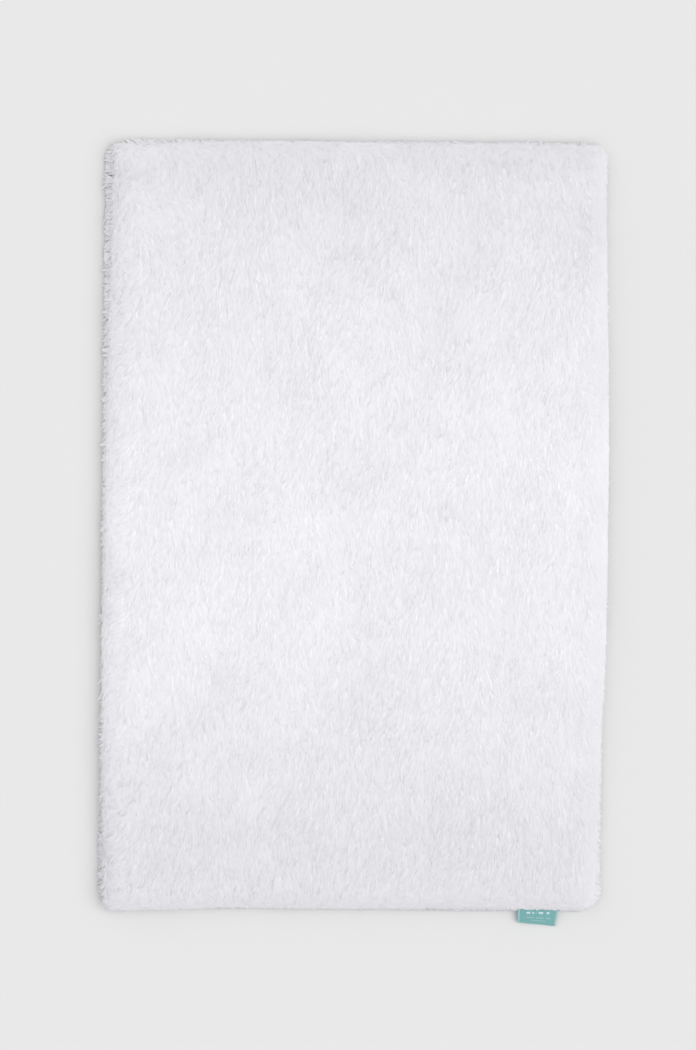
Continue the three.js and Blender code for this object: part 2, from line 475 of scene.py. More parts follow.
def ribbon_finish():
    """Damask ribbon: a satin ground, a paler selvage, and woven bars that say nothing."""
    label = settings("mat_label")
    finish = Finish("ribbon_damask", roughness=0.55, sheen_weight=0.35, sheen_roughness=0.35,
                    specular_ior_level=0.4)
    along = finish.attribute("along")
    across = finish.attribute("across")
    satin = wave(along, 1500.0) * 0.6 + wave(across, 1250.0) * 0.4
    selvage = (across < 0.0022) + (across > 0.0402)
    heading = bars(along, across, (0.0083, 0.0105), (0.0080, 0.0345), 150.0, 0.30)
    line = bars(along, across, (0.0145, 0.0153), (0.0065, 0.0355), 520.0, 0.25)
    short_line = bars(along, across, (0.0179, 0.0186), (0.0140, 0.0300), 430.0, 0.35)
    gap = ((across * 95.0 + 0.35) % 1.0) < 0.22
    woven = heading * (1.0 - gap) + line * (1.0 - gap) * 0.8 + short_line * 0.7
    uneven = finish.noise(260.0, detail=3.0)
    ground = tuple(label.ground_colour)
    # Painted shade and highlight: the ground is darker in the weave's hollows and paler on its raised
    # threads; the uneven noise is the yarn's own tone.
    base = finish.mix(satin * 0.55 + uneven * 0.45, shaded(ground, 0.84), shaded(ground, 1.08))
    striped = finish.mix(selvage * 0.6, base, tuple(label.band_colour))
    finish.colour(finish.mix(woven, striped, tuple(label.mark_colour)))
    finish.relief(satin + woven * 1.4, distance=0.00018)
    return finish.material


def floor_finish():
    """A plain, matt studio floor."""
    finish = Finish("studio_floor", roughness=0.9, specular_ior_level=0.0)
    finish.colour(tuple(settings("mat_stage").floor_colour))
    return finish.material


# ---------------------------------------------------------------- numbers and noise


def unit(vectors):
    """The vectors at length 1. Those with no length stay as they are."""
    return vectors / np.maximum(np.linalg.norm(vectors, axis=-1, keepdims=True), 1e-12)


def smooth(value):
    """A smooth step from 0 to 1 as value goes from 0 to 1."""
    value = np.clip(value, 0.0, 1.0)
    return value * value * (3.0 - 2.0 * value)


class Ripple:
    """Smooth random relief between -1 and 1 over a plane, the same in every run."""

    LATTICE = 256

    def __init__(self, seed, cell_x, cell_y=None):
        self.values = np.random.default_rng(seed).uniform(-1.0, 1.0, (self.LATTICE, self.LATTICE))
        self.cell_x = cell_x
        self.cell_y = cell_y or cell_x

    def __call__(self, x, y):
        column, row = x / self.cell_x, y / self.cell_y
        i, j = np.floor(column).astype(int), np.floor(row).astype(int)
        f, g = smooth(column - i), smooth(row - j)

        def corner(di, dj):
            return self.values[(i + di) % self.LATTICE, (j + dj) % self.LATTICE]

        near = corner(0, 0) * (1 - f) + corner(1, 0) * f
        far = corner(0, 1) * (1 - f) + corner(1, 1) * f
        return near * (1 - g) + far * g


# ---------------------------------------------------------------- meshes


def make_piece(name, points, polygons, material, numbers=None, bake_uv=None, normals=None):
    """An object from arrays. polygons is a list of index arrays, each with one row for each face."""
    mesh = bpy.data.meshes.new(name)
    loops = np.concatenate([faces.ravel() for faces in polygons]).astype(np.int32)
    totals = np.concatenate([np.full(len(faces), faces.shape[1]) for faces in polygons]).astype(np.int32)
    starts = np.concatenate([[0], np.cumsum(totals)[:-1]]).astype(np.int32)
    mesh.vertices.add(len(points))
    mesh.vertices.foreach_set("co", np.asarray(points, np.float32).ravel())
    mesh.loops.add(len(loops))
    mesh.loops.foreach_set("vertex_index", loops)
    mesh.polygons.add(len(totals))
    mesh.polygons.foreach_set("loop_start", starts)
    mesh.polygons.foreach_set("use_smooth", np.full(len(totals), True))
    mesh.update(calc_edges=True)
    for key, values in (numbers or {}).items():
        attribute = mesh.attributes.new(key, "FLOAT", "POINT")
        attribute.data.foreach_set("value", np.asarray(values, np.float32).ravel())
    if bake_uv is not None:
        layer = mesh.uv_layers.new(name="OFBake")
        layer.data.foreach_set("uv", np.asarray(bake_uv, np.float32).ravel())
    if normals is not None:
        mesh.normals_split_custom_set(np.asarray(normals, np.float32))
    mesh.materials.append(material)
    piece = bpy.data.objects.new(name, mesh)
    bpy.context.scene.collection.objects.link(piece)
    return piece


def grid_faces(rows, columns, start=0, flip=False):
    """Quads between the points of a grid that is stored row by row."""
    index = np.arange(rows * columns).reshape(rows, columns) + start
    quads = np.stack([index[:-1, :-1], index[:-1, 1:], index[1:, 1:], index[1:, :-1]], -1).reshape(-1, 4)
    return quads[:, ::-1] if flip else quads


def ring_faces(rings, sides, closed_rings=False):
    """Quads of a tube: rings of points, each closed on itself. The tube itself may close, too."""
    index = np.arange(rings * sides).reshape(rings, sides)
    following = np.roll(index, -1, axis=0) if closed_rings else index[1:]
    here = index if closed_rings else index[:-1]
    return np.stack([here, np.roll(here, -1, axis=1), np.roll(following, -1, axis=1), following],
                    -1).reshape(-1, 4)


def border_of(rows, columns):
    """The indices round a grid's border, in order."""
    index = np.arange(rows * columns).reshape(rows, columns)
    return np.concatenate([index[0, :-1], index[:-1, -1], index[-1, :0:-1], index[:0:-1, 0]])


def slab_faces(rows, columns):
    """Faces of a closed slab: a top grid, a bottom grid after it, and the edge between them."""
    size = rows * columns
    border = border_of(rows, columns)
    following = np.roll(border, -1)
    edge = np.stack([border, border + size, following + size, following], -1)
    return [grid_faces(rows, columns), grid_faces(rows, columns, size, flip=True), edge]


def raised(plan, height):
    """Plan points at a height, or each at its own, as one row of points."""
    heights = np.broadcast_to(height, plan.shape[:-1])
    return np.concatenate([plan, heights[..., None]], -1).reshape(-1, 3)


def plan_grid(low, high, step):
    """The two coordinates of a rectangle's grid of plan points."""
    return np.meshgrid(*[np.linspace(start, end, round((end - start) / step) + 1)
                         for start, end in zip(low, high)])


def nearest(low, high, u, v):
    """A rectangle's nearest point to each place, the direction out from it, and the larger offset."""
    flat = np.stack([np.clip(u, low[0], high[0]), np.clip(v, low[1], high[1])], -1)
    past = np.stack([u, v], -1) - flat
    return flat, unit(past), np.abs(past).max(-1)


def rounded_grid(low, high, radius, step):
    """A grid of plan points that fills a rounded rectangle."""
    u, v = plan_grid(low, high, step)
    centre, outward, reach = nearest(np.array(low) + radius, np.array(high) - radius, u, v)
    return centre + outward * reach[..., None]


def rectangle_path(low, high, radius, step):
    """Points round a rounded rectangle, anticlockwise, with their outward directions and distances."""
    sides = high[0] - low[0] - 2 * radius, high[1] - low[1] - 2 * radius
    centres = [(high[0] - radius, high[1] - radius), (low[0] + radius, high[1] - radius),
               (low[0] + radius, low[1] + radius), (high[0] - radius, low[1] + radius)]
    points, outward = [], []
    for quarter, centre in enumerate(centres):
        turns = np.linspace(quarter, quarter + 1, max(3, round(radius * math.pi / 2 / step))) * math.pi / 2
        facing = np.stack([np.cos(turns), np.sin(turns)], -1)
        points.extend(np.array(centre) + radius * facing)
        outward.extend(facing)
        side = sides[quarter % 2]
        count = max(2, round(side / step))
        start, along = points[-1], np.array([-facing[-1][1], facing[-1][0]])
        points.extend([start + along * side * share for share in np.arange(1, count) / count])
        outward.extend([facing[-1]] * (count - 1))
    points, outward = np.array(points), np.array(outward)
    steps = np.linalg.norm(np.roll(points, -1, axis=0) - points, axis=1)
    return points, outward, np.concatenate([[0], np.cumsum(steps)[:-1]])


def sweep(name, points, outward, along, section, material, shift):
    """A closed loop of one section. The section's pairs are outward and upward offsets, anticlockwise.

    The shift is one more pair of offsets at each of the loop's points.
    """
    section = np.asarray(section)
    sides = len(section)
    flat = points[:, None, :] + outward[:, None, :] * (section[None, :, :1] + shift[:, None, :1])
    vertices = raised(flat, section[None, :, 1] + shift[:, None, 1])
    numbers = {"along": np.repeat(along, sides), "across": np.tile(np.arange(sides) / sides, len(points))}
    return make_piece(name, vertices, [ring_faces(len(points), sides, True)], material, numbers)


# ---------------------------------------------------------------- the cover's shape


class CoverShape:
    """The pile's rounded slab, unrolled: every point of a flat rectangle has its place on the slab.

    The profiles are distances out from the flat top, with heights. `rim` tucks under to the flange, as the
    dense mass does, and `drape` hangs down past the widest place, as the locks do.
    """

    def __init__(self):
        self.low = np.array([COVER_LOW.x - OVERHANG_X, COVER_LOW.y - OVERHANG_FRONT]) + RIM_WIDTH
        self.high = np.array([COVER_HIGH.x + OVERHANG_X, COVER_HIGH.y + OVERHANG_BACK]) - RIM_WIDTH
        drop = BED_TOP - WIDEST_HEIGHT
        tuck = WIDEST_HEIGHT - UNDERSIDE_HEIGHT
        over = np.linspace(0.0, math.pi / 2, RIM_STEPS)
        under = np.linspace(0.0, math.pi / 2, TUCK_STEPS)[1:]
        turn = [(RIM_WIDTH * math.sin(a), BED_TOP - drop * (1 - math.cos(a))) for a in over]
        tucked = [(RIM_WIDTH - tuck * (1 - math.cos(a)), WIDEST_HEIGHT - tuck * math.sin(a)) for a in under]
        hanging = [(RIM_WIDTH + out, WIDEST_HEIGHT - down)
                   for out, down in ((0.0003, 0.0030), (0.0009, 0.0060), (0.0018, 0.0085))]
        self.rim = np.array(turn + tucked)
        self.drape = np.array(turn + hanging)
        self.reach = self.lengths(self.rim)[-1]
        self.turn_length = self.lengths(self.rim[:RIM_STEPS])[-1]

    @staticmethod
    def lengths(profile):
        """Distances along a profile's points from its first."""
        steps = np.linalg.norm(np.diff(profile, axis=0), axis=1)
        return np.concatenate([[0.0], np.cumsum(steps)])

    def unrolled(self, u, v):
        """The nearest point of the flat top, the outward direction, and the distance past the flat."""
        return nearest(self.low, self.high, u, v)

    def on_profile(self, profile, flat, outward, distance):
        """Places, and unit steps along the profile, at distances past the flat top."""
        lengths = self.lengths(profile)
        offset = np.interp(distance, lengths, profile[:, 0])
        height = np.interp(distance, lengths, profile[:, 1])
        tiny = 0.0004
        after = np.minimum(distance + tiny, lengths[-1])
        before = np.maximum(after - 2 * tiny, 0.0)
        slope = unit(np.stack([np.interp(after, lengths, line) - np.interp(before, lengths, line)
                               for line in profile.T], -1))
        places = np.concatenate([flat + outward * offset[..., None], height[..., None]], -1)
        return places, slope


def side_swells(along):
    """How far the right and left sides stand out, where along is -1 at the label end and 1 at the other."""
    right = 0.0010 + 0.0048 * np.cos((along + 0.15) * 1.75) - 0.0030 * smooth((-along - 0.3) * 4.0)
    left = (0.0015 * np.cos(along * 1.6) - 0.0024 - 0.0030 * smooth((-along - 0.5) * 2.0)
            - 0.0022 * smooth((along - 0.4) * 2.5))
    return right, left


def end_slopes(along, across):
    """How far an end is shifted towards the label end, at shares of the way to the end and to the side."""
    label_end = 0.0034 * smooth((-across - 0.4) / 0.5) - 0.0012 * smooth(across * 2.0)
    far_end = 0.0012 + 0.0042 * smooth((-across - 0.5) / 0.5)
    return np.where(along < 0, label_end, far_end)


def surface_relief(x, y, along, across):
    """How far the top stands up: a crown, lumps, and faint creases from having been folded in a pack."""
    relief = 0.0008 * Ripple(12, 0.07)(x, y) + 0.0008 * Ripple(13, 0.025)(x, y)
    crease_width = 0.006
    for place, depth in ((0.50, 0.0016), (0.0, 0.0012), (-0.54, 0.0016)):
        line = y - place * COVER_HIGH.y - crease_width * Ripple(14, 0.09)(x, y * 0 + place * 7)
        fade = 0.65 + 0.35 * Ripple(15, 0.05)(x, y)
        relief -= depth * np.exp(-((line / crease_width) ** 2)) * fade
    return relief + 0.0008 * (1 - across ** 2) * (1 - along ** 2)


def soften(points):
    """The soft mat's own shape: uneven sides and ends, tight corners, and a top that isn't quite flat."""
    x, y = points[..., 0].copy(), points[..., 1].copy()
    across, along = x / COVER_HIGH.x, y / COVER_HIGH.y
    right, left = np.clip(across, 0, None) ** 3, np.clip(-across, 0, None) ** 3
    end = np.abs(along) ** 6
    right_swell, left_swell = side_swells(along)
    ripple = Ripple(11, 0.055)
    swell = right * right_swell - left * left_swell + (right + left) * 0.0007 * ripple(y, x * 0 + 0.5)
    corner = (smooth((np.abs(x) - COVER_HIGH.x + RIM_WIDTH) / RIM_WIDTH)
              * smooth((np.abs(y) - COVER_HIGH.y + RIM_WIDTH) / RIM_WIDTH) * np.where(x < 0, 0.006, 0.0038))
    shift = end * (np.sign(y) * 0.0009 * ripple(x, y * 0 + 9.5) - end_slopes(along, across))
    free = smooth((points[..., 2] - FLANGE_TOP - 0.0006) / 0.006)
    on_top = smooth((points[..., 2] - WIDEST_HEIGHT) / (BED_TOP - WIDEST_HEIGHT))
    moved = points.copy()
    moved[..., 0] += free * (swell + SKEW * y + corner * np.sign(x))
    moved[..., 1] += free * (shift + corner * np.sign(y))
    moved[..., 2] += on_top * surface_relief(x, y, along, across)
    return moved


def make_bed(shape, material):
    """The dense part of the pile on its ground cloth, down to the sewn flange, as one closed shell."""
    flange_edge = RIM_WIDTH - OVERHANG_X
    wall = flange_edge - FLANGE_WIDTH
    outside = np.vstack([shape.rim, [
        (wall + 0.0004, UNDERSIDE_HEIGHT - 0.0006), (wall, FLANGE_TOP + 0.0006),
        (wall + 0.0006, FLANGE_TOP), (flange_edge, FLANGE_TOP), (flange_edge, COVER_LOW.z)]])
    inner_wall = wall - GROUND_THICKNESS
    inside = np.array([
        (0.0, CAVITY_TOP), (inner_wall - 0.001, CAVITY_TOP), (inner_wall, CAVITY_TOP - 0.001),
        (inner_wall, COVER_LOW.z), (flange_edge - 0.0006, COVER_LOW.z)])
    depth = shape.lengths(outside)[-1]
    counts = [round((shape.high[i] - shape.low[i] + 2 * depth) / BED_STEP) for i in (0, 1)]
    u, v = [np.linspace(shape.low[i] - depth, shape.high[i] + depth, counts[i]) for i in (0, 1)]
    u, v = np.meshgrid(u, v)
    flat, outward, distance = shape.unrolled(u, v)
    top, _ = shape.on_profile(outside, flat, outward, distance)
    hairs = 0.0003 * Ripple(21, 0.0035, 0.012)(u, v) + 0.0002 * Ripple(22, 0.008, 0.02)(u, v) - 0.0006
    dense = smooth((shape.reach - distance) / 0.004)
    top = soften(top)
    top[..., 2] += hairs * dense
    share = distance / depth
    under, _ = shape.on_profile(inside, flat, outward, share * shape.lengths(inside)[-1])
    points = np.concatenate([top.reshape(-1, 3), under.reshape(-1, 3)])
    faces = slab_faces(*u.shape)
    plan = np.stack([(u - u.min()) / np.ptp(u), (v - v.min()) / np.ptp(v)], -1).reshape(-1, 2)
    plan = np.concatenate([plan * (1.0, 0.48), plan * (1.0, 0.48) + (0.0, 0.51)])
    uv = np.concatenate([plan[group.ravel()] for group in faces])
    return make_piece("pile_bed", points, faces, material, bake_uv=uv)


# ---------------------------------------------------------------- locks of fibre


def lay_directions(shape, u, v, outward, steep, rng):
    """Which way the pile is combed: to the label end, outwards near the sides, and down steep parts."""
    to_left, to_right = u - shape.low[0], shape.high[0] - u
    wander = 0.38 * Ripple(31, 0.05)(u, v) + 0.30 * Ripple(32, 0.016, 0.03)(u, v)
    corner = smooth((u - shape.low[0]) / -0.25 + 1.0) * smooth((v - shape.high[1]) / 0.3 + 1.0)
    wander += corner * 0.9 * Ripple(33, 0.03)(u, v)
    wander += rng.normal(0.0, 0.16, u.shape) * (1.0 + steep)
    heading = -math.pi / 2 - 0.05 + wander
    lay = np.stack([np.cos(heading), np.sin(heading)], -1)
    lay[..., 0] -= 1.6 * (1 - smooth((to_left + 0.014) / 0.034))
    lay[..., 0] += 1.2 * (1 - smooth((to_right + 0.016) / 0.026))
    pull = 1.7 * steep * (1.0 + 0.3 * Ripple(35, 0.014)(u, v))
    return unit(lay + outward * pull[..., None])


def over_cover(shape, u, v):
    """Places on the combed surface, with its normals and its two directions: down the slope, and level."""
    flat, outward, distance = shape.unrolled(u, v)
    outward[distance < 1e-9] = (1.0, 0.0)
    place, slope = shape.on_profile(shape.drape, flat, outward, distance)
    slope[distance < 1e-9] = (1.0, 0.0)
    down = np.concatenate([outward * slope[..., :1], slope[..., 1:]], -1)
    level = np.stack([-outward[..., 1], outward[..., 0], np.zeros(u.shape)], -1)
    normal = np.concatenate([-outward * slope[..., 1:], slope[..., :1]], -1)
    return soften(place), normal, (down, level), outward, distance


def lock_curves(shape, u, v, rng, pile):
    """Locks that start at places on the unrolled slab.

    Gives their centre lines, sideways directions and normals, then their widths and how far their edges
    reach down.
    """
    _, normal, _, outward, distance = over_cover(shape, u, v)
    lay = lay_directions(shape, u, v, outward, 1.0 - normal[:, 2].clip(0.0, 1.0), rng)
    turn = np.stack([-lay[:, 1], lay[:, 0]], -1)
    count = len(u)
    length = pile.length * (1.0 + 0.38 * rng.standard_normal(count)).clip(0.4, 1.9)
    swell = 0.55 * Ripple(34, 0.022, 0.05)(u, v) + 0.35 * rng.standard_normal(count)
    tousled = np.maximum(smooth((shape.low[0] + 0.030 - u) / 0.030),
                         0.4 * smooth(distance / shape.turn_length - 0.2))
    lift = pile.lift * ((1.0 + swell).clip(0.3, 2.2) + tousled * rng.exponential(1.6, count))
    width = pile.width * (1.0 + 0.33 * rng.standard_normal(count)).clip(0.4, 1.9)
    bend = rng.normal(0.0, 0.16, count) * (1.0 + tousled) * length
    heading_out = (lay * outward).sum(-1).clip(0.0, 1.0)
    loose = heading_out * smooth((distance - 0.35 * shape.turn_length) / (0.5 * shape.turn_length))
    stray = loose * rng.exponential(0.0006, count) * np.where(u < shape.low[0], 1.6, 1.0)
    stray += rng.exponential(0.00018, count)
    sunk, set_back, skirt = 0.0014, 0.12, 0.0012 * (1.0 - 0.7 * loose)
    centres, sides, normals = [], [], []
    for t in LOCK_STEPS:
        at = (np.stack([u, v], -1) + lay * (length * (t - set_back))[:, None]
              + turn * (bend * t * t)[:, None])
        place, normal, (down, level), outward, _ = over_cover(shape, at[:, 0], at[:, 1])
        ahead = unit(lay * length[:, None] + turn * (2 * bend * t)[:, None])
        run = (down * (ahead * outward).sum(-1)[:, None]
               + level * (ahead[:, 1] * outward[:, 0] - ahead[:, 0] * outward[:, 1])[:, None])
        rise = -sunk + (sunk + lift) * math.sin(min(t / 0.5, 1.0) * math.pi / 2)
        rise = rise - (lift + 0.0003) * (1.0 - loose) * smooth((t - 0.45) / 0.55) + stray * t * t
        centres.append(place + normal * rise[:, None])
        sides.append(unit(np.cross(run, normal)))
        normals.append(normal)
    return np.stack(centres, 1), np.stack(sides, 1), np.stack(normals, 1), width, skirt


def make_locks(name, centres, side, normal, width, skirt, material, rng):
    """Closed, tapering, three-sided locks along their centre lines.

    A ring's corners are its left edge, its back and its right edge. The shading follows the pile's surface,
    tilted up to the sky and out to the edges, and the underside is shaded as if it faced ahead.
    """
    count, rings = len(centres), len(LOCK_RINGS)
    offsets = np.array([(-0.5, 0.0), (0.0, 0.15), (0.5, 0.0)])
    edges = np.array([1.0, 0.0, 1.0])
    spread = width[:, None, None] * np.array(LOCK_TAPER)[None, :, None]
    across, up = side[:, :rings, None, :], normal[:, :rings, None, :]
    body = (centres[:, :rings, None, :] + (spread * offsets[:, 0])[..., None] * across
            + (spread * offsets[:, 1] - skirt[:, None, None] * edges)[..., None] * up)
    tips = centres[:, rings]
    per_lock = rings * LOCK_SIDES + 1
    points = np.concatenate([body.reshape(count, -1, 3), tips[:, None, :]], 1).reshape(-1, 3)
    skyward = np.array([0.0, 0.0, 0.8])
    facing = (unit(up + skyward) + 0.42 * offsets[:, :1] * across).reshape(count, -1, 3)
    facing = unit(np.concatenate([facing, unit(normal[:, rings:] + skyward)], 1))
    sides = [(r, s) for r in range(rings - 1) for s in range(LOCK_SIDES)]
    after = [(s + 1) % LOCK_SIDES for s in range(LOCK_SIDES)]
    ring = np.arange(per_lock - 1).reshape(rings, LOCK_SIDES)
    quads = np.array([[ring[r, s], ring[r, after[s]], ring[r + 1, after[s]], ring[r + 1, s]]
                      for r, s in sides])
    triangles = np.array([[*ring[-1, [s, after[s]]], per_lock - 1]
                          for s in range(LOCK_SIDES)] + [[0, 2, 1]])
    base = np.arange(count)[:, None, None] * per_lock
    faces = [(base + quads[None]).reshape(-1, 4), (base + triangles[None]).reshape(-1, 3)]
    ahead = np.cross(up, across) * np.ones((1, 1, LOCK_SIDES, 1))
    ahead = np.concatenate([ahead.reshape(count, -1, 3), np.cross(normal[:, rings:], side[:, rings:])], 1)
    ahead = unit(ahead + 0.3 * facing)
    under = [np.repeat([s == 2 for _, s in sides], 4), np.repeat([False, False, True, True], 3)]
    normals = np.concatenate([np.where(below[:, None], ahead[:, group.ravel()], facing[:, group.ravel()])
                              .reshape(-1, 3) for group, below in zip((quads, triangles), under)])
    numbers = {
        "tip": np.tile([*np.repeat(LOCK_RINGS, LOCK_SIDES), 1.0], count),
        "across": np.tile([*np.tile([0.0, 0.5, 1.0], rings), 0.5], count),
        "shade": np.repeat(rng.uniform(-1.0, 1.0, count), per_lock),
    }
    cells = math.ceil(math.sqrt(count))
    gap, inner = 0.12, 0.76
    corner = np.stack([np.arange(count) % cells, np.arange(count) // cells], -1)[:, None, :] + gap
    quad_uv = np.array([[((s + a) / 3, LOCK_STEPS[r + b]) for a, b in ((0, 0), (1, 0), (1, 1), (0, 1))]
                        for r, s in sides]).reshape(-1, 2)
    tip_uv = [[(s / 3, LOCK_RINGS[-1]), ((s + 1) / 3, LOCK_RINGS[-1]), ((s + 0.5) / 3, 1.0)]
              for s in range(LOCK_SIDES)]
    tri_uv = np.array(tip_uv + [[(0.0, 0.0), (1.0, 0.0), (0.5, 0.05)]]).reshape(-1, 2)
    uv = np.concatenate([(corner + inner * quad_uv[None]).reshape(-1, 2),
                         (corner + inner * tri_uv[None]).reshape(-1, 2)]) / cells
    return make_piece(name, points, faces, material, numbers, uv, normals)


def make_pile(shape, material):
    """All the locks: bands of them along the mat, and those that lie over the label."""
    pile = settings("mat_pile")
    rng = np.random.default_rng(7)
    reach = shape.turn_length + 0.001
    lows, highs = shape.low - reach, shape.high + reach
    counts = [round((highs[i] - lows[i]) / pile.spacing) for i in (0, 1)]
    u, v = np.meshgrid(*[lows[i] + (np.arange(counts[i]) + 0.5) * (highs[i] - lows[i]) / counts[i]
                         for i in (0, 1)])

    def scattered(places, share, axis):
        """Places moved at random by up to a share of the spacing, but not off the slab."""
        moved = places + rng.uniform(-share, share, len(places)) * pile.spacing
        return moved.clip(lows[axis], highs[axis])

    u, v = [scattered(places.ravel(), 0.55, axis) for axis, places in enumerate((u, v))]
    on_rim = shape.unrolled(u, v)[2] > 0.2 * shape.turn_length
    again = np.repeat(np.flatnonzero(on_rim), 2)
    u, v = [np.concatenate([places, scattered(places[again], 1.0, axis)])
            for axis, places in enumerate((u, v))]
    locks = lock_curves(shape, u, v, rng, pile)
    tip = locks[0][:, -1]
    inside_label = (tip[:, 0] > ROOT_LOW.x - 0.002) & (tip[:, 0] < ROOT_HIGH.x + 0.002)
    over_label = inside_label & (tip[:, 1] < ROOT_LOW.y + 0.004)
    band_of = np.clip(((v - lows[1]) / (highs[1] - lows[1]) * PILE_BANDS).astype(int), 0, PILE_BANDS - 1)

    def made(name, chosen):
        return make_locks(name, *[part[chosen] for part in locks], material, rng)

    pieces = [made(f"pile_band_{number + 1}", (band_of == number) & ~over_label)
              for number in range(PILE_BANDS)]
    return pieces, made("pile_over_label", over_label)


def make_fringe(material):
    """Short stray tufts that come out under the rim, over the tape: thick on the left, thin elsewhere."""
    rng = np.random.default_rng(9)
    points, outward, along = rectangle_path(COVER_LOW[:2], COVER_HIGH[:2], 0.020, 0.0011)
    on_left = smooth(-outward[:, 0])
    patchy = 0.5 + 0.5 * Ripple(37, 0.012)(along, along * 0)
    chosen = rng.uniform(size=len(points)) < patchy ** 2 * (0.04 * (outward[:, 0] < 0.5) + 0.40 * on_left)
    chosen &= outward[:, 1] > -0.5
    points, outward, on_left, patchy = points[chosen], outward[chosen], on_left[chosen], patchy[chosen]
    count = len(points)
    facing = np.concatenate([outward, np.zeros((count, 1))], -1)
    level = np.stack([-outward[:, 1], outward[:, 0], np.zeros(count)], -1)
    length = 0.0045 + (0.0030 + 0.0035 * on_left) * patchy * rng.uniform(0.5, 1.0, count) + 0.0030 * on_left
    slant = rng.normal(-0.15, 0.35, count)
    run = facing + level * slant[:, None]
    side = unit(facing * slant[:, None] - level)
    sewn_in, root_height = 0.0035, 0.0068
    root = points - outward * sewn_in
    tip_height = rng.uniform(0.0012, 0.0040, count)
    centres, normals = [], []
    for t in LOCK_STEPS:
        height = root_height + (tip_height - root_height) * smooth((t - 0.25) / 0.75)
        centres.append(raised(root + (run * (length * t)[:, None])[:, :2], height))
        normals.append(unit(UP + facing * 0.8 * t))
    sides = np.repeat(side[:, None], len(centres), 1)
    width = rng.uniform(0.0012, 0.0024, count)
    return make_locks("pile_fringe", np.stack(centres, 1), sides, np.stack(normals, 1), width,
                      np.zeros(count), material, rng)


class MAT_OT_pile(bpy.types.Operator):
    """Make the cover: the dense underfur on its ground cloth, and the combed locks over it"""

    bl_idname = "bath_mat.pile"
    bl_label = "Pile Cover"

    def execute(self, context):
        shape = CoverShape()
        bed = make_bed(shape, bed_finish())
        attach(bed, MAT_BODY)
        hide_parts("fur_cover")
        fibre = pile_finish()
        locks, swinging = make_pile(shape, fibre)
        locks.append(make_fringe(fibre))
        for piece in locks:
            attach(piece, MAT_BODY)
        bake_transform(swinging)
        return {"FINISHED"}


# ---------------------------------------------------------------- foam


class MAT_OT_foam(bpy.types.Operator):
    """Make the foam slab inside the cover"""

    bl_idname = "bath_mat.foam"
    bl_label = "Foam Slab"

    def execute(self, context):
        rounding, radius, step = 0.0025, 0.0085, 0.00605
        low, high = np.array(FOAM_LOW[:2]) + rounding, np.array(FOAM_HIGH[:2]) - rounding
        u, v = plan_grid(low, high, step)
        centre, outward, reach = nearest(low + radius, high - radius, u, v)
        plan = centre + outward * reach[..., None]
        skin = 0.00012 * Ripple(41, 0.009)(u, v) * smooth((radius - reach) / radius * 4)
        border = border_of(*u.shape)
        edge, facing = plan.reshape(-1, 2)[border], outward.reshape(-1, 2)[border]
        bulge = 0.0004 * Ripple(42, 0.03)(edge[:, 0], edge[:, 1])
        side = edge + facing * (rounding - 0.0004 + bulge)[:, None]
        points = np.concatenate([raised(plan, FOAM_HIGH.z - 0.0002 + skin), raised(plan, FOAM_LOW.z),
                                 raised(side, FOAM_HIGH.z - rounding), raised(side, FOAM_LOW.z + rounding)])
        ring = np.arange(len(border))
        loops = [border, 2 * u.size + ring, 2 * u.size + len(border) + ring, border + u.size]
        walls = [np.stack([a, b, np.roll(b, -1), np.roll(a, -1)], -1) for a, b in zip(loops, loops[1:])]
        top, bottom, _ = slab_faces(*u.shape)
        faces = [top, bottom, *walls]
        piece = make_piece("foam_slab", points, faces, foam_finish())
        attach(piece, MAT_BODY)
        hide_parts("foam_core")
        return {"FINISHED"}


# ---------------------------------------------------------------- backing


def make_backing():
    """The backing cloth: a thin sheet with a slight, random sag."""
    plan = rounded_grid(BACKING_LOW[:2], BACKING_HIGH[:2], 0.020, 0.006)
    sag = 0.00012 * Ripple(51, 0.024)(plan[..., 0], plan[..., 1])
    room = 0.00013
    points = np.concatenate([raised(plan, BACKING_HIGH.z - room + sag),
                             raised(plan, BACKING_LOW.z + room + sag)])
    piece = make_piece("backing_sheet", points, slab_faces(*plan.shape[:2]), backing_finish())
    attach(piece, MAT_BODY)
    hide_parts("backing_cloth")


def dot_centres(pitch, reach_x, reach_y):
    """A triangular lattice with one dot in the middle."""
    row_pitch = pitch * math.sqrt(3) / 2
    rows = range(-math.floor(reach_y / row_pitch), math.floor(reach_y / row_pitch) + 1)
    columns = range(-math.ceil(reach_x / pitch), math.ceil(reach_x / pitch) + 1)
    places = [((column + 0.5 * (row % 2)) * pitch, row * row_pitch) for row in rows for column in columns]
    return [(x, y) for x, y in places if abs(x) <= reach_x + 1e-9]


